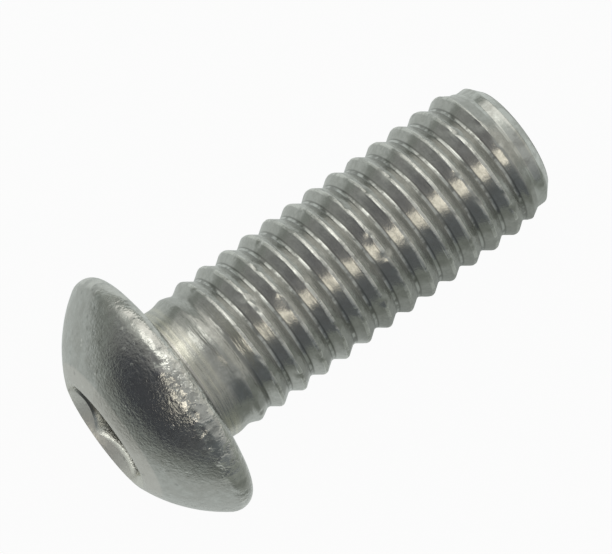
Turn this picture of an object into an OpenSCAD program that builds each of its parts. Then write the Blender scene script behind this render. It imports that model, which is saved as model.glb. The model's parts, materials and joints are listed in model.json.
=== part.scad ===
// Button head machine screw with a hexagon socket and a rolled metric thread.
// The head is forged and the thread is rolled on one piece of wire, so the screw is one solid.
// It lies on its side, as it comes to rest: the edge of the head and the last high crest of the
// thread touch the surface z = 0, the tip points along +X, and the origin is under its middle.

/* [Thread] */
// Diameter over the crests
thread_dia = 5.88; // [5.6:0.02:6.2]
// Distance from one crest to the next
pitch = 1; // [0.8:0.05:1.2]
// Angle of the flanks from the axis
flank_angle = 35; // [30:1:50]
// Rounding of the crest, as seen in a section along the axis
crest_radius = 0.15; // [0.08:0.01:0.2]
// Rounding at the bottom of the groove
root_radius = 0.22; // [0.14:0.01:0.28]
// Distance from the bearing face to the first crest, along the lowest line of the lying screw
first_crest = 0.1; // [0:0.01:1]

/* [Shank] */
// Length from the bearing face under the head to the tip
screw_length = 15.8; // [10:0.1:30]
// Diameter of the plain neck under the head
neck_dia = 5.54; // [5.3:0.02:5.8]
// Length of the plain neck, with its fillet
neck_length = 0.4; // [0.3:0.05:2]
// Radius of the fillet between the neck and the bearing face
neck_fillet = 0.3; // [0.1:0.05:0.3]
// Length over which the thread rises out of the neck to its full form
runout = 2.3; // [0.5:0.1:4]
// Diameter of the flat at the tip
tip_dia = 4.4; // [3.6:0.1:4.6]
// Angle of the bevel at the tip, from the axis
tip_angle = 47; // [30:1:55]
// Diameter over the last turn, which the rolling leaves lower
lead_dia = 5.2; // [5:0.05:5.6]
// Length of that lower turn, from the tip
lead_length = 0.75; // [0.5:0.05:1.5]
// Angle at which the crests drop to it, from the axis
lead_angle = 30; // [10:1:40]

/* [Head] */
// Diameter of the head
head_dia = 10.2; // [9.6:0.1:10.8]
// Height of the head above the bearing face
head_height = 3.14; // [2.8:0.01:3.3]
// Radius of the dome
dome_radius = 6; // [5.6:0.05:6.2]
// Height of the widest line of the head above the bearing face
rim_height = 0.6; // [0.6:0.05:1]
// Rounding between the dome and the widest line
rim_round = 0.65; // [0.2:0.05:0.8]
// Rounding between the widest line and the bearing face
seat_round = 0.55; // [0.1:0.05:0.55]

/* [Hexagon socket] */
// Width across the flats
socket_flats = 4; // [3:0.1:4.2]
// Width of the mouth, whose edge the punch draws in
socket_mouth = 4.65; // [4.1:0.05:4.7]
// Full angle of the cone that this leaves at the mouth
mouth_cone = 75; // [60:5:120]
// Depth of the flat walls from the top of the head
socket_depth = 2.1; // [1.5:0.05:2.2]
// Width of the gap between the flats and the drilled cone at the bottom
socket_ledge = 0.15; // [0.1:0.05:0.4]
// Full angle of the drilled cone
socket_cone = 130; // [110:5:150]
// Turn of the socket about the screw's axis
socket_turn = 7; // [0:1:59]

/* [Smoothness] */
// Steps in one turn of the thread
turn_steps = 36; // [24:4:40]

/* [Hidden] */
$fn = 96;
eps = 0.01;

// The thread's section is a crest arc, a straight flank and a root arc. Each arc turns by the
// flank's angle before it meets the flank.
crest_half = crest_radius * sin(flank_angle);
root_half = root_radius * sin(flank_angle);
crest_centre = thread_dia / 2 - crest_radius;
flank_top = crest_centre + crest_radius * cos(flank_angle);
flank_fall = (pitch / 2 - crest_half - root_half) * tan(flank_angle);
root_centre = flank_top - flank_fall + root_radius * cos(flank_angle);

// Angles of the points on the two arcs, and where all points of one turn lie along the axis
crest_angles = [-flank_angle, 0, flank_angle];
root_angles = [-flank_angle, -flank_angle / 3, flank_angle / 3, flank_angle];
turn_points = concat(
    [for (a = crest_angles) crest_radius * sin(a)],
    [for (a = root_angles) pitch / 2 + root_radius * sin(a)]
);
points_per_turn = len(turn_points);

// The threaded length starts inside the neck, a hair thinner than it. One extra turn at each
// end is held back to the planes where the threaded length starts and stops.
thread_start = neck_length / 2;
neck_step = 0.02;
first_turn = floor((thread_start - first_crest) / pitch) - 1;
last_turn = ceil((screw_length - first_crest) / pitch) + 1;
rows = (last_turn - first_turn) * points_per_turn;

// The sphere of the dome, from the rounded rim that it runs into
rim_x = head_dia / 2 - rim_round;
dome_centre = rim_height - sqrt(pow(dome_radius - rim_round, 2) - pow(rim_x, 2));
dome_angle = atan2(rim_height - dome_centre, rim_x);

// How the screw rests: the line that touches the rounded edge of the head and one crest
seat_x = head_dia / 2 - seat_round;
crests = [for (k = [first_turn:last_turn]) first_crest + k * pitch];
rest_tilts = [for (s = crests) if (s > screw_length / 2 && s < screw_length) rest_tilt(s)];
tilt = min(rest_tilts);
lift = seat_x * cos(tilt) - seat_round * sin(tilt) + seat_round;
crown_radius = sqrt(pow(dome_radius, 2) - pow(head_height - dome_centre, 2));
back_x = -head_height * cos(tilt) - crown_radius * sin(tilt);
front_x = screw_length * cos(tilt) + tip_dia / 2 * sin(tilt);

// Tilt at which the screw would rest on the crest at a distance s from the bearing face
function rest_tilt(s) =
    let (run = s + seat_round, rise = seat_x - end_limit(s, thread_dia / 2))
    atan2(rise, run) + asin(seat_round / norm([run, rise]));

// Distance along the axis from the nearest crest, at the distance s and the angle a
function from_crest(s, a) =
    let (turns = (s - first_crest) / pitch - a / 360)
    abs(turns - round(turns)) * pitch;

// Radius of the full thread
function thread_radius(s, a) =
    let (x = from_crest(s, a))
    x < crest_half ? crest_centre + sqrt(pow(crest_radius, 2) - pow(x, 2)) :
    x > pitch / 2 - root_half ? root_centre - sqrt(pow(root_radius, 2) - pow(pitch / 2 - x, 2)) :
    flank_top - (x - crest_half) * tan(flank_angle);

// How far the thread has risen out of the neck, from 0 to 1
function risen(s) =
    let (t = max(0, min(1, (s - neck_length) / runout)))
    t * t * (3 - 2 * t);

// The lower last turn and the bevel hold the radius back near the tip
function end_limit(s, r) =
    let (left = screw_length - s)
    min(
        r,
        lead_dia / 2 + max(0, left - lead_length) * tan(lead_angle),
        tip_dia / 2 + left * tan(tip_angle)
    );

function shank_radius(s, a) =
    let (w = risen(s), plain = neck_dia / 2 - neck_step)
    end_limit(s, w * thread_radius(s, a) + (1 - w) * plain);

// Planes of the two ends hold the rows that would pass them
function held(s) =
    s < thread_start + eps ? thread_start :
    s > screw_length - eps ? screw_length :
    s;

function shank_point(row, step) =
    let (
        a = 360 * step / turn_steps,
        turn = first_turn + floor(row / points_per_turn) + step / turn_steps,
        s = held(first_crest + turn * pitch + turn_points[row % points_per_turn]),
        r = shank_radius(s, a)
    )
    [r * cos(a), r * sin(a), s];

// The rows run on from one turn into the next, so the last step meets the first one a turn later
function shank_index(row, step) =
    step < turn_steps ? row * turn_steps + step :
    (row + points_per_turn) * turn_steps;

// Along the held planes some corners fall together, and such a triangle is left out
function is_face(points, f) =
    points[f[0]] != points[f[1]] && points[f[1]] != points[f[2]] && points[f[2]] != points[f[0]];

module threaded_shank() {
    last_row = rows + points_per_turn;
    points = [for (row = [0:last_row], step = [0:turn_steps - 1]) shank_point(row, step)];
    sides = [
        for (row = [0:last_row - points_per_turn - 1], step = [0:turn_steps - 1])
            let (
                a = shank_index(row, step),
                b = shank_index(row, step + 1),
                c = shank_index(row + 1, step + 1),
                d = shank_index(row + 1, step)
            )
            each [[a, c, b], [a, d, c]]
    ];
    neck_end = [for (step = [0:turn_steps - 1]) step];
    tip_end = [for (step = [turn_steps - 1:-1:0]) rows * turn_steps + step];
    polyhedron(
        points = points,
        faces = concat([for (f = sides) if (is_face(points, f)) f], [neck_end, tip_end])
    );
}

// Half of the head's section: a sharp outline with two rounded corners at its widest line
module head_section() {
    rim_join = rim_x + rim_round * cos(dome_angle);
    square([seat_x, rim_height]);
    translate([0, seat_round]) square([head_dia / 2, rim_height - seat_round]);
    intersection() {
        translate([seat_x, seat_round]) circle(seat_round);
        translate([seat_x, 0]) square(seat_round);
    }
    intersection() {
        translate([rim_x, rim_height]) circle(rim_round);
        translate([rim_x, rim_height]) square(rim_round);
    }
    intersection() {
        translate([0, dome_centre]) circle(dome_radius);
        square([rim_join, head_height]);
    }
}

// Half of the neck's section, which is filleted into the bearing face
module neck_section() {
    fillet_x = neck_dia / 2 + neck_fillet;
    difference() {
        translate([0, -neck_length]) square([fillet_x, neck_length]);
        translate([neck_dia / 2, -neck_length - eps])
            square([neck_fillet + eps, neck_length - neck_fillet + eps]);
        translate([fillet_x, -neck_fillet]) circle(neck_fillet);
    }
}

// Head and neck, with the top of the head towards -Z
module head() {
    mirror([0, 0, 1]) rotate_extrude() {
        head_section();
        neck_section();
    }
}

// The drawn-in mouth, six flat walls, and under them the cone of the drill that opened the socket
module socket() {
    cone_radius = socket_flats / 2 - socket_ledge;
    cone_depth = cone_radius / tan(socket_cone / 2);
    mouth_slope = tan(mouth_cone / 2);
    mouth_depth = (socket_mouth / 2 - cone_radius) / mouth_slope;
    mouth_radius = socket_mouth / 2 + eps * mouth_slope;
    rotate([0, 0, socket_turn]) translate([0, 0, -head_height - eps]) {
        cylinder(r1 = mouth_radius, r2 = cone_radius, h = mouth_depth + eps);
        cylinder(d = socket_flats / cos(30), h = socket_depth + eps, $fn = 6);
        translate([0, 0, socket_depth]) cylinder(r1 = cone_radius, r2 = 0, h = cone_depth + eps);
    }
}

module machine_screw() {
    color("darkgray")
        translate([-(back_x + front_x) / 2, 0, lift]) rotate([0, 90 + tilt, 0])
            difference() {
                union() {
                    head();
                    threaded_shank();
                }
                socket();
            }
}

machine_screw();
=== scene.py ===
import json
import math

import bmesh
import bpy
from mathutils import Matrix, Vector, noise


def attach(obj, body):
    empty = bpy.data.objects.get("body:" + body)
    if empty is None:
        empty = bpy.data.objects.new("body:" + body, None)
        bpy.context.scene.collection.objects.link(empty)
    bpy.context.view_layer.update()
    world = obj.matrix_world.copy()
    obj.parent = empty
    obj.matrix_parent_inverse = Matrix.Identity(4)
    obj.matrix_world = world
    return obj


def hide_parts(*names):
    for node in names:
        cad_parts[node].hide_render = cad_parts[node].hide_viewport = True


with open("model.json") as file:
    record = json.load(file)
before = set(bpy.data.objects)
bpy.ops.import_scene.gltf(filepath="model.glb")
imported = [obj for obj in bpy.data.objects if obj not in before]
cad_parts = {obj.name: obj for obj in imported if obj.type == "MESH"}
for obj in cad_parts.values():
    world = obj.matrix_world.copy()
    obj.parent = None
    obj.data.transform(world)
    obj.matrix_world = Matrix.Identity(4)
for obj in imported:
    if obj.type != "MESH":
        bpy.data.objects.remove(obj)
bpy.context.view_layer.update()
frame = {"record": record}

# The screw lies on its side, with the rim of the head and one crest of the thread on the floor.
# The camera looks down on it, a little from the side of the head, and sees it turned in the
# picture with the tip at the upper right.
MM = 0.001
mounts = {mount["name"]: mount for mount in frame["record"]["mounts"]}
axis = Vector(mounts["bearing_face"]["axis"]).normalized()
across = Vector((0, 1, 0))
down = across.cross(axis)
# The mount's point is on the ring of the bearing face, straight beside the axis
bearing_centre = Vector(mounts["bearing_face"]["pos_m"])
bearing_centre.y = 0

AIM_ALONG = 6.4 * MM
HEAD_TOWARDS_CAMERA = math.radians(12.307)
TURN_IN_PICTURE = math.radians(36.015)
CAMERA_DISTANCE = 139.4 * MM
CAMERA_RIGHT = -0.24 * MM
CAMERA_UP = 0.29 * MM

along_picture = axis * math.cos(HEAD_TOWARDS_CAMERA) - down * math.sin(HEAD_TOWARDS_CAMERA)
to_camera = -axis * math.sin(HEAD_TOWARDS_CAMERA) - down * math.cos(HEAD_TOWARDS_CAMERA)
picture_right = along_picture * math.cos(TURN_IN_PICTURE) - across * math.sin(TURN_IN_PICTURE)
picture_up = along_picture * math.sin(TURN_IN_PICTURE) + across * math.cos(TURN_IN_PICTURE)

camera = bpy.data.objects.new("camera", bpy.data.cameras.new("camera"))
camera.data.sensor_width = 36
camera.data.lens = 222.28
camera.data.clip_start = 0.01
camera.matrix_world = Matrix((picture_right, picture_up, to_camera)).transposed().to_4x4()
camera.matrix_world.translation = (
    bearing_centre + axis * AIM_ALONG + to_camera * CAMERA_DISTANCE
    + picture_right * CAMERA_RIGHT + picture_up * CAMERA_UP
)
bpy.context.scene.collection.objects.link(camera)
bpy.context.scene.camera = camera

# The shank is a plain wire whose thread is rolled on cold, so the crests stand proud of the
# neck and their tops are narrow. The thread rises out of the neck over two turns, and the
# rolls leave the last turn lower. Sizes are in millimetres, along the screw's own axis.
SCREW_LENGTH = 15.8
THREAD_DIA = 5.88
PITCH = 1.0
CREST_RADIUS = 0.15
ROOT_RADIUS = 0.22
FIRST_CREST = 0.1
FLANK_ANGLE = math.radians(35)
NECK_RADIUS = 5.54 / 2
NECK_LENGTH = 0.4
RUNOUT = 2.3
TIP_RADIUS = 4.4 / 2
TIP_SLOPE = math.tan(math.radians(47))
LEAD_RADIUS = 5.2 / 2
LEAD_LENGTH = 0.75
LEAD_SLOPE = math.tan(math.radians(30))
TURN_STEPS = 144
SAME_POINT = 0.006
ON_PLANE = 0.0005
# Height of the worn crests' unevenness, and its waves in a millimetre
CREST_WAVES = ((0.012, 1.1), (0.008, 4))
# Depths under the crest's top where this wear is full, and where it ends
WEAR_FULL = 0.03
WEAR_ENDS = 0.2

crest_half = CREST_RADIUS * math.sin(FLANK_ANGLE)
root_half = ROOT_RADIUS * math.sin(FLANK_ANGLE)
crest_centre = THREAD_DIA / 2 - CREST_RADIUS
flank_top = crest_centre + CREST_RADIUS * math.cos(FLANK_ANGLE)
flank_fall = (PITCH / 2 - crest_half - root_half) * math.tan(FLANK_ANGLE)
root_centre = flank_top - flank_fall + ROOT_RADIUS * math.cos(FLANK_ANGLE)


def spread(start, end, steps):
    return [start + (end - start) * step / steps for step in range(steps + 1)]


def flank_radius(from_crest):
    return flank_top - (from_crest - crest_half) * math.tan(FLANK_ANGLE)


def half_of_thread():
    """Points from a crest down to the next groove: distance from the crest, and radius."""
    crest = [(CREST_RADIUS * math.sin(a), crest_centre + CREST_RADIUS * math.cos(a))
             for a in spread(0, FLANK_ANGLE, 4)]
    flank = [(x, flank_radius(x)) for x in spread(crest_half, PITCH / 2 - root_half, 3)]
    root = [(PITCH / 2 - ROOT_RADIUS * math.sin(a), root_centre - ROOT_RADIUS * math.cos(a))
            for a in spread(FLANK_ANGLE, 0, 5)]
    return crest[:-1] + flank[:-1] + root


def end_limit(s, radius):
    left = SCREW_LENGTH - s
    lead = LEAD_RADIUS + max(0, left - LEAD_LENGTH) * LEAD_SLOPE
    return min(radius, lead, TIP_RADIUS + left * TIP_SLOPE)


def smooth_step(low, high, value):
    """From 0 at the value low to 1 at the value high, which may be the smaller one."""
    t = min(max((value - low) / (high - low), 0), 1)
    return t * t * (3 - 2 * t)


def swell(co, height, waves):
    """Unevenness of a height at a point, with so many waves in a millimetre."""
    return height * noise.noise(co * waves)


def rolled_radius(co, radius):
    """Radius of the shank at a point of the full thread: run-out, last turn and worn crest."""
    risen = smooth_step(NECK_LENGTH, NECK_LENGTH + RUNOUT, co.z)
    radius = end_limit(co.z, risen * radius + (1 - risen) * NECK_RADIUS)
    crest = smooth_step(WEAR_ENDS, WEAR_FULL, THREAD_DIA / 2 - radius)
    uneven = sum(swell(co, *size) for size in CREST_WAVES)
    return radius + uneven * crest * risen


shank = bmesh.new()
section = half_of_thread()
section = [(-x, r) for x, r in reversed(section)] + section[1:]
line = [shank.verts.new((r, 0, FIRST_CREST + x)) for x, r in section]
edges = [shank.edges.new(pair) for pair in zip(line, line[1:])]
first_turn = math.floor((NECK_LENGTH - FIRST_CREST) / PITCH) - 1
last_turn = math.ceil((SCREW_LENGTH - FIRST_CREST) / PITCH)
bmesh.ops.translate(shank, verts=line, vec=(0, 0, first_turn * PITCH))
bmesh.ops.spin(
    shank, geom=line + edges, cent=(0, 0, 0), axis=(0, 0, 1), dvec=(0, 0, PITCH / TURN_STEPS),
    angle=math.tau, steps=TURN_STEPS, use_merge=False, use_duplicate=False,
)
one_turn = shank.verts[:] + shank.edges[:] + shank.faces[:]
for turn in range(first_turn + 1, last_turn + 1):
    copy = bmesh.ops.duplicate(shank, geom=one_turn)["geom"]
    corners = [item for item in copy if isinstance(item, bmesh.types.BMVert)]
    bmesh.ops.translate(shank, verts=corners, vec=(0, 0, (turn - first_turn) * PITCH))
bmesh.ops.remove_doubles(shank, verts=shank.verts, dist=SAME_POINT)
for place, outwards in ((NECK_LENGTH, -1), (SCREW_LENGTH, 1)):
    bmesh.ops.bisect_plane(
        shank, geom=shank.verts[:] + shank.edges[:] + shank.faces[:], dist=ON_PLANE,
        plane_co=(0, 0, place), plane_no=(0, 0, outwards), clear_outer=True,
    )
for vert in shank.verts:
    reach = math.hypot(vert.co.x, vert.co.y)
    wanted = rolled_radius(vert.co, reach)
    vert.co.x *= wanted / reach
    vert.co.y *= wanted / reach

# The tip was cut flat and its edge is bevelled, so that the nut finds the thread. The cut is
# closed by rings that go inwards, and it is a little hollow.
SAME_LEVEL = 0.002
# Share of the tip's radius, and depth of the hollow there
TIP_RINGS = ((0.985, 0), (0.93, 0), (0.6, 0.03), (0.3, 0.05))


def ring_at(bm, s):
    """The open edges of a mesh at the distance s from the bearing face."""
    return [e for e in bm.edges
            if e.is_boundary and all(abs(v.co.z - s) < SAME_LEVEL for v in e.verts)]


def extrude_ring(bm, ring, level, place):
    """Extrudes a ring of edges. Each new corner goes where place(angle) says: its radius, and
    its distance from the level along the axis."""
    grown = bmesh.ops.extrude_edge_only(bm, edges=ring)["geom"]
    for vert in (item for item in grown if isinstance(item, bmesh.types.BMVert)):
        turn = math.atan2(vert.co.y, vert.co.x)
        radius, depth = place(turn)
        vert.co = (radius * math.cos(turn), radius * math.sin(turn), level + depth)
    return [e for e in grown if isinstance(e, bmesh.types.BMEdge) and e.is_boundary]


tip_ring = ring_at(shank, SCREW_LENGTH)
for share, hollow in TIP_RINGS:
    tip_ring = extrude_ring(shank, tip_ring, SCREW_LENGTH, lambda a: (TIP_RADIUS * share, -hollow))
bmesh.ops.contextual_create(shank, geom=tip_ring)

# The head is forged on the end of the wire: a low dome, a rounded rim and a flat bearing face
# that a small fillet joins to the neck. Its section is spun about the screw's axis.
HEAD_RADIUS = 10.2 / 2
HEAD_HEIGHT = 3.14
DOME_RADIUS = 6
RIM_HEIGHT = 0.6
RIM_ROUND = 0.65
SEAT_ROUND = 0.55
NECK_FILLET = 0.3
CROWN_ROUND = 0.12
CROWN_INSET = 0.02
CROWN_DROP = 0.008
HEAD_STEPS = 288

rim_x = HEAD_RADIUS - RIM_ROUND
seat_x = HEAD_RADIUS - SEAT_ROUND
fillet_x = NECK_RADIUS + NECK_FILLET
dome_centre = RIM_HEIGHT - math.sqrt((DOME_RADIUS - RIM_ROUND) ** 2 - rim_x ** 2)
dome_start = math.atan2(RIM_HEIGHT - dome_centre, rim_x)
crown_radius = math.sqrt(DOME_RADIUS ** 2 - (HEAD_HEIGHT - dome_centre) ** 2)
dome_end = math.acos((crown_radius + CROWN_ROUND / 2) / DOME_RADIUS)


def arc(centre_x, centre_height, radius, start, end, steps):
    """Points of an arc in the head's section: distance from the axis, height over the seat."""
    return [(centre_x + radius * math.cos(a), centre_height + radius * math.sin(a))
            for a in spread(start, end, steps)]


outline = arc(fillet_x, -NECK_FILLET, NECK_FILLET, math.pi, math.pi / 2, 5)
outline += [(r, 0) for r in spread(fillet_x, seat_x, 8)[1:-1]]
outline += arc(seat_x, SEAT_ROUND, SEAT_ROUND, -math.pi / 2, 0, 9)
outline += arc(rim_x, RIM_HEIGHT, RIM_ROUND, 0, dome_start, 7)
outline += arc(0, dome_centre, DOME_RADIUS, dome_start, dome_end, 30)[1:]
outline += [(crown_radius - CROWN_INSET, HEAD_HEIGHT - CROWN_DROP)]

head = bmesh.new()
line = [head.verts.new((r, 0, -height)) for r, height in outline]
edges = [head.edges.new(pair) for pair in zip(line, line[1:])]
bmesh.ops.spin(
    head, geom=line + edges, cent=(0, 0, 0), axis=(0, 0, 1), dvec=(0, 0, 0),
    angle=math.tau, steps=HEAD_STEPS, use_merge=True, use_duplicate=False,
)

# The hexagon socket is punched into the crown. Its mouth is drawn in a little, a narrow chamfer
# leads into its six walls, which run straight down, and the cone of a drill ends it. Depths are
# in millimetres under the crown.
SOCKET_FLATS = 4
SOCKET_DEPTH = 2.1
SOCKET_LEDGE = 0.15
SOCKET_CONE = math.radians(130)
SOCKET_TURN = math.radians(7)
CORNER_ROUND = 0.06
MOUTH_RADIUS = 4.65 / 2
MOUTH_SLOPE = math.tan(math.radians(75) / 2)
MOUTH_DROP = 0.14
MOUTH_SHALLOWNESS = 0.67
MOUTH_SHARES = (0, 0.06, 0.35, 0.65, 0.95, 1)
CHAMFER_WIDTH = 0.036
CHAMFER_DEPTH = 0.17
WALL_DEPTHS = (0.7, 1, 1.5, SOCKET_DEPTH - 0.04)
BOTTOM_INSETS = (0.01, 0.05)
CONE_SHARES = (1, 0.97, 0.7, 0.4, 0.1)
cone_radius = SOCKET_FLATS / 2 - SOCKET_LEDGE


def hexagon_radius(turn):
    """Distance from the axis to the walls, whose corners are a little rounded."""
    side = math.pi / 3
    within = (turn - SOCKET_TURN) % side - side / 2
    radius = SOCKET_FLATS / 2 / math.cos(within)
    corner = (radius - SOCKET_FLATS / 2) / (SOCKET_FLATS / 2 * (1 / math.cos(side / 2) - 1))
    return radius - CORNER_ROUND * corner ** 4


def mouth_point(turn, share):
    """The drawn-in mouth, from its lip (share 0) down to the chamfer over the walls (share 1)."""
    radius = hexagon_radius(turn) + CHAMFER_WIDTH
    depth = MOUTH_DROP + (MOUTH_RADIUS - radius) / MOUTH_SLOPE * MOUTH_SHALLOWNESS
    return MOUTH_RADIUS + (radius - MOUTH_RADIUS) * share, depth * share


def wall_top(turn):
    return hexagon_radius(turn), mouth_point(turn, 1)[1] + CHAMFER_DEPTH


def sink(ring, place):
    """Extrudes the socket's ring of edges to where place(angle) says: radius and depth."""
    return extrude_ring(head, ring, -HEAD_HEIGHT, place)


socket_ring = [e for e in head.edges if e.is_boundary
               and all(v.co.z < -HEAD_HEIGHT / 2 for v in e.verts)]
for share in MOUTH_SHARES:
    socket_ring = sink(socket_ring, lambda a: mouth_point(a, share))
socket_ring = sink(socket_ring, wall_top)
for depth in WALL_DEPTHS:
    socket_ring = sink(socket_ring, lambda a: (hexagon_radius(a), depth))
for inset in BOTTOM_INSETS:
    socket_ring = sink(socket_ring, lambda a: (hexagon_radius(a) - inset, SOCKET_DEPTH))
for share in CONE_SHARES:
    depth = SOCKET_DEPTH + cone_radius * (1 - share) / math.tan(SOCKET_CONE / 2)
    socket_ring = sink(socket_ring, lambda a: (cone_radius * share, depth))
bmesh.ops.contextual_create(head, geom=socket_ring)

# Head and shank are one piece of steel, so the two meshes are joined across the neck. Each face
# keeps the number of its finish: rolled thread, forged head, punched socket or cut tip.
THREAD_FINISH, HEAD_FINISH, SOCKET_FINISH, TIP_FINISH = range(4)
TIP_FACE = SCREW_LENGTH - 0.06

for face in shank.faces:
    at_tip = face.calc_center_median().z > TIP_FACE
    face.material_index = TIP_FINISH if at_tip else THREAD_FINISH
for face in head.faces:
    centre = face.calc_center_median()
    wall = hexagon_radius(math.atan2(centre.y, centre.x))
    in_socket = math.hypot(centre.x, centre.y) < wall + CHAMFER_WIDTH
    face.material_index = SOCKET_FINISH if in_socket else HEAD_FINISH
head_mesh = bpy.data.meshes.new("head")
head.to_mesh(head_mesh)
head.free()
screw = shank
screw.from_mesh(head_mesh)
bpy.data.meshes.remove(head_mesh)
neck_rings = ring_at(screw, NECK_LENGTH) + ring_at(screw, NECK_FILLET)
bmesh.ops.bridge_loops(screw, edges=neck_rings)
bmesh.ops.recalc_face_normals(screw, faces=screw.faces)

# The steel has been knocked against other things. The rim and the edge of the bearing face have
# small facets and notches, most of them above and on the right, which is -Y, and here and there
# a crest of the thread is nicked. The screw's own X points down.
MARKED_FROM = 2.5
HEAD_ENDS = 0.02
THREAD_STARTS = 1.2
# Height or depth of the marks, and their waves in a millimetre
FACETS = (0.03, 2.1)
NOTCHES = (0.05, 3.6)
DOME_SWELL = (0.008, 1.3)
NICK_DEPTH = 0.045
NICK_WAVES = 2.1
NICK_PLACES = Vector((5, 2, 9))
# Where the marks begin, and where they are full
RIM_REACH = (4.88, 5.04)
UPPER_PART = (-2, -4)
RIGHT_PART = (1.9, 0.6)
CREST_REACH = (2.78, 2.92)
NICK_LIMITS = (0.34, 0.6)


def rim_knock(co, reach):
    """How far the knocks move a point of the rim outwards."""
    share = smooth_step(*RIM_REACH, reach)
    share *= 0.4 + 0.8 * smooth_step(*UPPER_PART, co.x)
    share *= 0.35 + 0.65 * smooth_step(*RIGHT_PART, co.y)
    return share * (swell(co, *FACETS) - abs(swell(co, *NOTCHES)))


for vert in screw.verts:
    co = vert.co.copy()
    reach = math.hypot(co.x, co.y)
    if reach < MARKED_FROM:
        continue
    outwards = Vector((co.x / reach, co.y / reach, 0))
    if co.z < HEAD_ENDS:
        knock = rim_knock(co, reach)
        from_dome_centre = (co - Vector((0, 0, -dome_centre))).normalized()
        vert.co += outwards * knock + Vector((0, 0, -0.5 * knock))
        vert.co += from_dome_centre * swell(co, *DOME_SWELL)
    elif co.z > THREAD_STARTS:
        crest = smooth_step(*CREST_REACH, reach)
        nick = smooth_step(*NICK_LIMITS, noise.noise(co * NICK_WAVES + NICK_PLACES))
        vert.co -= outwards * (NICK_DEPTH * nick * crest)

for face in screw.faces:
    face.smooth = True
screw_place = Matrix((down, across, axis)).transposed().to_4x4()
screw_place.translation = bearing_centre
bmesh.ops.transform(screw, matrix=screw_place @ Matrix.Scale(MM, 4), verts=screw.verts)
screw_mesh = bpy.data.meshes.new("screw_body")
screw.to_mesh(screw_mesh)
screw.free()
screw_body = bpy.data.objects.new("screw_body", screw_mesh)
bpy.context.scene.collection.objects.link(screw_body)
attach(screw_body, "root")
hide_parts("machine_screw")


# All finishes are of one steel, and they are built from the groups of nodes below: speckle, lines
# around the axis, a band of distances from the axis, and pits. All sizes are millimetres.
def add(tree, kind, inputs=None, **settings):
    item = tree.nodes.new(kind)
    for key, value in settings.items():
        setattr(item, key, value)
    for key, value in (inputs or {}).items():
        if isinstance(value, bpy.types.NodeSocket):
            tree.links.new(value, item.inputs[key])
        else:
            item.inputs[key].default_value = value
    return item


def number(tree, operation, *inputs):
    return add(tree, "ShaderNodeMath", dict(enumerate(inputs)),
               operation=operation).outputs["Value"]


def vector(tree, operation, *inputs):
    return add(tree, "ShaderNodeVectorMath", dict(enumerate(inputs)),
               operation=operation).outputs["Vector"]


def length(tree, given):
    return add(tree, "ShaderNodeVectorMath", {0: given}, operation="LENGTH").outputs["Value"]


def part_of(tree, given, letter):
    return add(tree, "ShaderNodeSeparateXYZ", {"Vector": given}).outputs[letter]


def product(tree, first, second, plus=0):
    return number(tree, "MULTIPLY_ADD", first, second, plus)


def smooth_mask(tree, value, low, high):
    return add(tree, "ShaderNodeMapRange", {"Value": value, "From Min": low, "From Max": high},
               interpolation_type="SMOOTHSTEP").outputs["Result"]


def new_group(name, inputs):
    """A node group that takes a vector and some numbers, and puts out one mask."""
    tree = bpy.data.node_groups.new(name, "ShaderNodeTree")
    tree.interface.new_socket("Vector", in_out="INPUT", socket_type="NodeSocketVector")
    for label, value in inputs.items():
        socket = tree.interface.new_socket(label, in_out="INPUT", socket_type="NodeSocketFloat")
        socket.default_value = value
    tree.interface.new_socket("Mask", in_out="OUTPUT", socket_type="NodeSocketFloat")
    return tree, add(tree, "NodeGroupInput").outputs


def end_group(tree, mask):
    add(tree, "NodeGroupOutput", {"Mask": mask})
    return tree


SQUARE_TO_AXIS = (1, 1, 0)

tree, given = new_group("speckle", {"Size": 0.1, "Low": 0.3, "High": 0.7})
cloud = add(tree, "ShaderNodeTexNoise", {
    "Vector": given["Vector"], "Scale": number(tree, "DIVIDE", 1, given["Size"]), "Detail": 3,
    "Roughness": 0.6,
})
speckle = end_group(tree, smooth_mask(tree, cloud.outputs["Fac"], given["Low"], given["High"]))

tree, given = new_group("ring_lines", {"Along": 1, "Across": 9, "Low": 0.3, "High": 0.7})
sideways = vector(tree, "MULTIPLY", given["Vector"], SQUARE_TO_AXIS)
around = add(tree, "ShaderNodeVectorMath", {
    0: vector(tree, "NORMALIZE", sideways), "Scale": given["Along"],
}, operation="SCALE")
rise = add(tree, "ShaderNodeCombineXYZ", {
    "Z": product(tree, part_of(tree, given["Vector"], "Z"), given["Across"]),
})
cloud = add(tree, "ShaderNodeTexNoise", {
    "Vector": vector(tree, "ADD", around.outputs["Vector"], rise.outputs["Vector"]),
    "W": product(tree, length(tree, sideways), given["Across"]),
    "Scale": 1, "Detail": 3, "Roughness": 0.65,
}, noise_dimensions="4D")
ring_lines = end_group(tree, smooth_mask(tree, cloud.outputs["Fac"], given["Low"], given["High"]))

tree, given = new_group("band", {"Low": 2.8, "High": 2.9})
reach = length(tree, vector(tree, "MULTIPLY", given["Vector"], SQUARE_TO_AXIS))
band = end_group(tree, smooth_mask(tree, reach, given["Low"], given["High"]))

tree, given = new_group("pits", {"Size": 0.4, "Low": 0.18, "High": 0.1})
cells = add(tree, "ShaderNodeTexVoronoi", {
    "Vector": given["Vector"], "Scale": number(tree, "DIVIDE", 1, given["Size"]),
})
spot = smooth_mask(tree, cells.outputs["Distance"], given["Low"], given["High"])
chosen = smooth_mask(tree, cells.outputs["Color"], 0.5, 0.55)
pits = end_group(tree, product(tree, spot, chosen))


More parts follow.
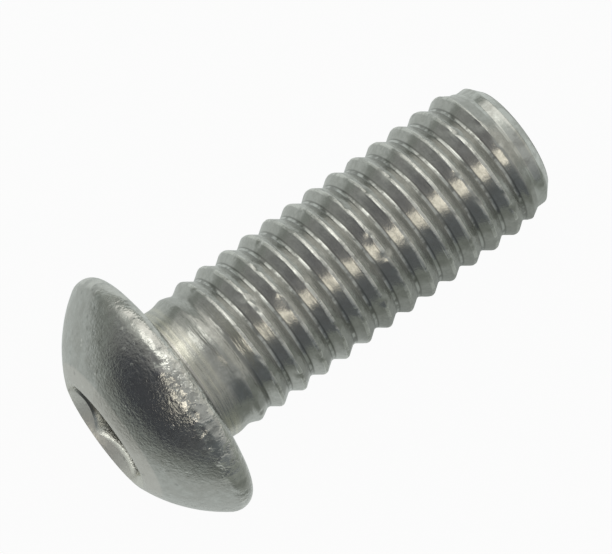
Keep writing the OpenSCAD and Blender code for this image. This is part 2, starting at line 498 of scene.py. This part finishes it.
def steel(name):
    """An empty steel, its shader, and the place on the screw in millimetres along its axis."""
    material = bpy.data.materials.new(name)
    material.use_nodes = True
    tree = material.node_tree
    shader = tree.nodes["Principled BSDF"]
    shader.inputs["Metallic"].default_value = 1
    place = add(tree, "ShaderNodeMapping", {
        "Vector": add(tree, "ShaderNodeTexCoord").outputs["Object"],
        "Location": bearing_centre, "Rotation": screw_place.to_euler(), "Scale": (MM, MM, MM),
    }, vector_type="TEXTURE")
    screw_mesh.materials.append(material)
    return tree, shader, place.outputs["Vector"]


def use(tree, group, place, **numbers):
    item = add(tree, "ShaderNodeGroup", node_tree=group)
    tree.links.new(place, item.inputs["Vector"])
    for label, value in numbers.items():
        item.inputs[label].default_value = value
    return item.outputs["Mask"]


def blended(tree, below, mask, colour):
    """Colour laid over what is below it, as far as the mask says."""
    return add(tree, "ShaderNodeMix", {"Factor": mask, "A": below, "B": colour},
               data_type="RGBA").outputs["Result"]


def coated(tree, colour, *coats):
    """Lays coats over a colour, each with its mask, its share and its own colour."""
    for mask, share, coat in coats:
        colour = blended(tree, colour, product(tree, mask, share), coat)
    return colour


def summed(tree, total, *layers):
    """Adds layers to a number, each with its mask and its share."""
    for mask, share in layers:
        total = product(tree, mask, share, total)
    return total


def finished(tree, shader, colour, roughness, relief, *heights):
    """Gives a steel its colour, its roughness, and a relief in millimetres that adds up heights."""
    height = summed(tree, 0, *heights)
    bump = add(tree, "ShaderNodeBump", {"Height": height, "Distance": relief * MM})
    tree.links.new(colour, shader.inputs["Base Color"])
    tree.links.new(roughness, shader.inputs["Roughness"])
    tree.links.new(bump.outputs["Normal"], shader.inputs["Normal"])


# The rolled thread is smooth, with painted shade that darkens the bottom of its grooves, and dust
# all over.
# Its crests are rubbed bright, the rolls left fine lines that run around it, and the neck is
# pale and streaked. A band counts from the axis, and the rest from the bearing face.
THREAD_STEEL = (0.57, 0.57, 0.55, 1)
THREAD_FILM = (0.47, 0.465, 0.44, 1)
THREAD_GRAIN = (0.42, 0.43, 0.42, 1)
DUST = (0.38, 0.38, 0.36, 1)
# Painted shade at the bottom of the grooves
GROOVE_SHADE = (0.2, 0.2, 0.19, 1)
NECK_STREAKS = (0.84, 0.81, 0.7, 1)
BURNISHED_ROOT = (0.74, 0.75, 0.73, 1)
RUBBED_CREST = (0.92, 0.92, 0.89, 1)

tree, shader, place = steel("rolled_thread")
grain = use(tree, speckle, place, Size=0.09)
film = use(tree, speckle, place, Size=0.7, Low=0.4, High=0.62)
dust = use(tree, speckle, place, Size=0.22, Low=0.38, High=0.64)
lines = use(tree, ring_lines, place, Along=2.2, Across=7)
broken = use(tree, ring_lines, place, Along=5, Across=1.5, Low=0.4, High=0.56)
streaks = use(tree, ring_lines, place, Along=1.2, Across=10, Low=0.35, High=0.6)
crest = use(tree, band, place, Low=2.9, High=2.932)
root = use(tree, band, place, Low=2.686, High=2.672)
# Painted shade: the bottom of the grooves is darkened, except near the neck and near the tip
groove_shade = use(tree, band, place, Low=2.715, High=2.68)
along = part_of(tree, place, "Z")
neck = smooth_mask(tree, along, 1.2, 0.75)
near_neck = smooth_mask(tree, along, 3, 1.4)
groove_shade = product(tree, groove_shade, smooth_mask(tree, along, 1.5, 2.5))
groove_shade = product(tree, groove_shade, smooth_mask(tree, along, 14.8, 14.5))
rubbed = product(tree, crest, product(tree, broken, 0.6, 0.08))
burnished = product(tree, root, product(tree, broken, 0.7, 0.1))
streaked = product(tree, neck, product(tree, streaks, 0.55, 0.1))
colour = coated(
    tree, THREAD_STEEL,
    (film, 0.4, THREAD_FILM),
    (grain, 0.35, THREAD_GRAIN),
    (dust, 0.4, DUST),
    (groove_shade, 0.85, GROOVE_SHADE),
    (streaked, 1, NECK_STREAKS),
    (burnished, 1, BURNISHED_ROOT),
    (rubbed, 1, RUBBED_CREST),
)
dull = summed(tree, 0.13, (grain, 0.06), (rubbed, 0.2), (dust, 0.05), (neck, 0.08))
finished(
    tree, shader, colour, dull, 0.004,
    (lines, 0.3), (grain, 0.3), (dust, 0.1),
    (product(tree, crest, lines), 2), (product(tree, near_neck, lines), 2.4),
)

# The head is forged and then tumbled. Around the socket the die left a paler, duller ring with a
# bright lip inside it, and the dome is mottled, dusty and pitted. The upper rim is scraped bright,
# most on the right, and so is the edge of the rim next to the bearing face. Both are partly real
# wear and partly painted highlight that stands in for the glints of the lamps there.
HEAD_STEEL = (0.55, 0.555, 0.54, 1)
HEAD_MOTTLE = (0.46, 0.45, 0.43, 1)
HEAD_GRAIN = (0.4, 0.41, 0.4, 1)
DIE_RING = (0.68, 0.65, 0.62, 1)
SOCKET_LIP = (0.93, 0.92, 0.88, 1)
PIT_SHADE = (0.22, 0.225, 0.23, 1)
SPARK = (0.85, 0.85, 0.81, 1)
# Real chips and painted highlight on the edge of the rim next to the bearing face
CHIPPED_EDGE_AND_HIGHLIGHT = (0.97, 0.96, 0.93, 1)
# Real scrapes and painted highlight on the upper rim
SCRAPED_RIM_AND_HIGHLIGHT = (0.96, 0.95, 0.91, 1)

tree, shader, place = steel("forged_head")
grain = use(tree, speckle, place, Size=0.1)
mottle = use(tree, speckle, place, Size=0.8, Low=0.35, High=0.65)
dust = use(tree, speckle, place, Size=0.24, Low=0.38, High=0.64)
holes = use(tree, pits, place, Size=0.36, Low=0.3, High=0.12)
sparks = use(tree, pits, place, Size=0.55, Low=0.17, High=0.1)
scrapes = use(tree, speckle, place, Size=0.5, Low=0.42, High=0.6)
chips = use(tree, speckle, place, Size=0.6, Low=0.36, High=0.55)
die_ring = use(tree, band, place, Low=3.08, High=2.95)
lip = use(tree, band, place, Low=2.36, High=2.3)
rim = use(tree, band, place, Low=4.82, High=5.02)
edge = use(tree, band, place, Low=4.6, High=4.75)
upper = smooth_mask(tree, part_of(tree, place, "X"), -2.4, -3.9)
right = smooth_mask(tree, part_of(tree, place, "Y"), 1.7, 0.7)
near_seat = smooth_mask(tree, part_of(tree, place, "Z"), -0.86, -0.66)
# Real scrapes and painted highlight: the rim is brightened only on its upper side and most on the
# right, where the lamps glint
scraped_and_highlight = product(tree, product(tree, rim, upper), product(tree, right, 0.75, 0.25))
scraped_and_highlight = product(tree, scraped_and_highlight, scrapes)
# Real chips and painted highlight: the rim's edge next to the bearing face is brightened where the
# glints are
chipped_and_highlight = product(tree, product(tree, edge, near_seat), product(tree, chips, 0.4, 0.05))
colour = coated(
    tree, HEAD_STEEL,
    (mottle, 0.6, HEAD_MOTTLE),
    (grain, 0.3, HEAD_GRAIN),
    (dust, 0.45, DUST),
    (die_ring, 0.7, DIE_RING),
    (lip, 0.8, SOCKET_LIP),
    (holes, 0.3, PIT_SHADE),
    (sparks, 0.5, SPARK),
    (chipped_and_highlight, 1, CHIPPED_EDGE_AND_HIGHLIGHT),
    (scraped_and_highlight, 0.65, SCRAPED_RIM_AND_HIGHLIGHT),
)
dull = summed(tree, 0.105, (mottle, 0.06), (lip, 0.25), (die_ring, 0.1), (scraped_and_highlight, -0.04))
finished(
    tree, shader, colour, dull, 0.005,
    (grain, 0.8), (dust, 0.4), (mottle, 0.6), (holes, -0.8), (sparks, 0.8), (scraped_and_highlight, 5),
    (chipped_and_highlight, 4),
)

# The punch left the chamfer and the walls of the socket bright, with smears on them. The bottom is
# painted dark as shade, and so is the wall on the left, which is +Y, below the chamfer.
SOCKET_STEEL = (0.9, 0.9, 0.86, 1)
SOCKET_SMEAR = (0.6, 0.59, 0.57, 1)
# Painted shade for the deep part of the socket and its +Y wall
SOCKET_SHADE = (0.1, 0.095, 0.085, 1)

tree, shader, place = steel("punched_socket")
grain = use(tree, speckle, place, Size=0.09)
smear = use(tree, speckle, place, Size=0.4, Low=0.35, High=0.6)
height = part_of(tree, place, "Z")
deep = smooth_mask(tree, height, 0.9 - HEAD_HEIGHT, 2 - HEAD_HEIGHT)
under_chamfer = smooth_mask(tree, height, 0.2 - HEAD_HEIGHT, 0.4 - HEAD_HEIGHT)
left = smooth_mask(tree, part_of(tree, place, "Y"), 0.7, 1.05)
# Painted shade: the deep part of the socket, and the +Y wall under the chamfer
painted_shade = number(tree, "MAXIMUM", deep, product(tree, left, under_chamfer))
colour = coated(tree, SOCKET_STEEL, (smear, 0.3, SOCKET_SMEAR), (painted_shade, 0.8, SOCKET_SHADE))
dull = summed(tree, 0.2, (grain, 0.08))
finished(tree, shader, colour, dull, 0.003, (grain, 0.8), (smear, 0.5))

# The tip is the end of the wire, which was cut off flat. The cut left a fine grain and faint
# rings around the axis.
TIP_STEEL = (0.56, 0.56, 0.545, 1)
TIP_GRAIN = (0.44, 0.44, 0.42, 1)

tree, shader, place = steel("cut_tip")
grain = use(tree, speckle, place, Size=0.1)
rings = use(tree, ring_lines, place, Along=0.5, Across=8)
colour = coated(tree, TIP_STEEL, (grain, 0.5, TIP_GRAIN))
dull = summed(tree, 0.25, (rings, 0.15))
finished(tree, shader, colour, dull, 0.01, (grain, 0.5), (rings, 1))

# The screw lies on a plain pale table top, which the camera sees as almost white. For the metal at
# most half white is mixed into its paint, as painted light and a painted shadow that the steel
# mirrors: a pool of painted light close to the screw that fades far away, and a painted shadow in a
# wedge towards -Y, where the white stays only close to the screw. Both were fitted to the greys of
# the steel. Sizes here are in metres.
FLOOR_HALF = 0.6
PALE_CENTRE = (0.005, 0, 0)
CAMERA_WHITE = 0.96
MIRRORED_WHITE = 0.5
FAR_SHARE = 0.14
BESIDE_SHARE = 0.4
PAINT = (0.46, 0.49, 0.47, 1)
PURE_WHITE = (1, 1, 1, 1)
MIRRORED_TINT = (0.95, 1, 0.97, 1)

floor_mesh = bpy.data.meshes.new("floor")
plane = bmesh.new()
bmesh.ops.create_grid(plane, x_segments=1, y_segments=1, size=FLOOR_HALF)
plane.to_mesh(floor_mesh)
plane.free()
floor = bpy.data.objects.new("floor", floor_mesh)
bpy.context.scene.collection.objects.link(floor)
floor_paint = bpy.data.materials.new("pale_floor")
floor_paint.use_nodes = True
tree = floor_paint.node_tree
tree.nodes.clear()
from_screw = add(tree, "ShaderNodeMapping", {
    "Vector": add(tree, "ShaderNodeTexCoord").outputs["Object"], "Location": PALE_CENTRE,
}, vector_type="TEXTURE").outputs["Vector"]
away = length(tree, from_screw)
heading = vector(tree, "NORMALIZE", from_screw)
to_x = part_of(tree, heading, "X")
to_y = part_of(tree, heading, "Y")
# Painted shadow: a wedge towards -Y in which the steel mirrors little white
lean = product(tree, smooth_mask(tree, to_x, -0.2, 0.3), -0.22, to_y)
out_of_painted_shadow = smooth_mask(tree, lean, -0.8, -0.6)
to_the_side = smooth_mask(tree, to_y, 0.5, 0.8)
to_the_tip = product(tree, smooth_mask(tree, to_x, 0.6, 0.9), smooth_mask(tree, to_y, 0, 0.3))
stretch = summed(tree, 1, (to_the_tip, -0.6), (to_the_side, 0.8))
# Painted light: the white that the steel mirrors is strongest close to the screw
near = smooth_mask(tree, product(tree, away, stretch), 0.052, 0.03)
pale = product(tree, out_of_painted_shadow, product(tree, near, 1 - FAR_SHARE, FAR_SHARE))
beside = product(tree, smooth_mask(tree, away, 0.018, 0.01), BESIDE_SHARE)
pale = number(tree, "MAXIMUM", pale, beside)
path = add(tree, "ShaderNodeLightPath").outputs
mirrored = product(tree, path["Is Glossy Ray"], product(tree, pale, MIRRORED_WHITE))
whiteness = product(tree, path["Is Camera Ray"], CAMERA_WHITE, mirrored)
paint = add(tree, "ShaderNodeBsdfDiffuse", {"Color": PAINT})
tint = blended(tree, MIRRORED_TINT, path["Is Camera Ray"], PURE_WHITE)
white = add(tree, "ShaderNodeEmission", {"Color": tint, "Strength": 1})
mix = add(tree, "ShaderNodeMixShader", {
    0: whiteness, 1: paint.outputs["BSDF"], 2: white.outputs["Emission"],
})
add(tree, "ShaderNodeOutputMaterial", {"Surface": mix.outputs["Shader"]})
floor_mesh.materials.append(floor_paint)

# The room around the table is grey, with oval patches of other tones that the steel mirrors: a
# paler ceiling, bright parts towards +X and +Y, dark ones behind the head and towards -Y. Two
# soft boxes light the screw. The tones were fitted to the greys of the steel.
ROOM_GREY = (0.39, 0.4, 0.38, 1)
# Azimuth and elevation of the centre, half the width and half the height in degrees, softness
# of the edge, and the tone
ROOM_PATCHES = (
    (0, 90, 50, 50, 0.6, (0.45, 0.46, 0.44, 1)),
    (-118, 8, 54, 38, 0.45, (0.16, 0.175, 0.18, 1)),
    (-2, 16, 30, 26, 0.5, (0.56, 0.56, 0.51, 1)),
    (74, 36, 46, 32, 0.5, (0.56, 0.58, 0.54, 1)),
    (46, 20, 30, 24, 0.5, (1, 1, 0.93, 1)),
    (160, 50, 22, 22, 0.5, (0.29, 0.29, 0.285, 1)),
    (180, 12, 44, 26, 0.4, (0.14, 0.142, 0.148, 1)),
    (180, 15, 30, 23, 0.25, (0.09, 0.095, 0.105, 1)),
)
LAMP_DISTANCE = 0.4

world = bpy.data.worlds.new("room")
bpy.context.scene.world = world
world.use_nodes = True
tree = world.node_tree
where = add(tree, "ShaderNodeTexCoord").outputs["Generated"]


def patch(azimuth, elevation, half_width, half_height, edge):
    """Mask of an oval part of the room, with a soft edge as a share of its size."""
    turned = add(tree, "ShaderNodeMapping", {
        "Vector": where,
        "Rotation": (0, -math.radians(elevation), math.radians(azimuth)),
        "Scale": (1, math.sin(math.radians(half_width)), math.sin(math.radians(half_height))),
    }, vector_type="TEXTURE").outputs["Vector"]
    from_centre = length(tree, vector(tree, "MULTIPLY", turned, (0, 1, 1)))
    ahead = number(tree, "GREATER_THAN", part_of(tree, turned, "X"), 0)
    return product(tree, smooth_mask(tree, from_centre, 1 + edge, 1 - edge), ahead)


room = ROOM_GREY
for *oval, tone in ROOM_PATCHES:
    room = blended(tree, room, patch(*oval), tone)
tree.links.new(room, tree.nodes["Background"].inputs["Color"])


def area_lamp(name, azimuth, elevation, width, height, radiance, colour):
    """A soft box that faces the screw. Radiance is how bright it looks."""
    turn, rise = math.radians(azimuth), math.radians(elevation)
    level = math.cos(rise)
    centre = Vector((level * math.cos(turn), level * math.sin(turn), math.sin(rise)))
    data = bpy.data.lights.new(name, "AREA")
    data.shape = "RECTANGLE"
    data.size = width
    data.size_y = height
    data.color = colour
    data.energy = radiance * math.pi * width * height
    lamp = bpy.data.objects.new(name, data)
    lamp.location = centre * LAMP_DISTANCE
    lamp.rotation_euler = centre.to_track_quat("Z", "Y").to_euler()
    bpy.context.scene.collection.objects.link(lamp)


area_lamp("soft_window", 82, 53, 0.2, 0.22, 1, (1, 0.99, 0.92))
area_lamp("warm_lamp", -161, 50, 0.13, 0.21, 1.1, (1, 0.92, 0.75))

bpy.context.scene.view_settings.view_transform = "Standard"
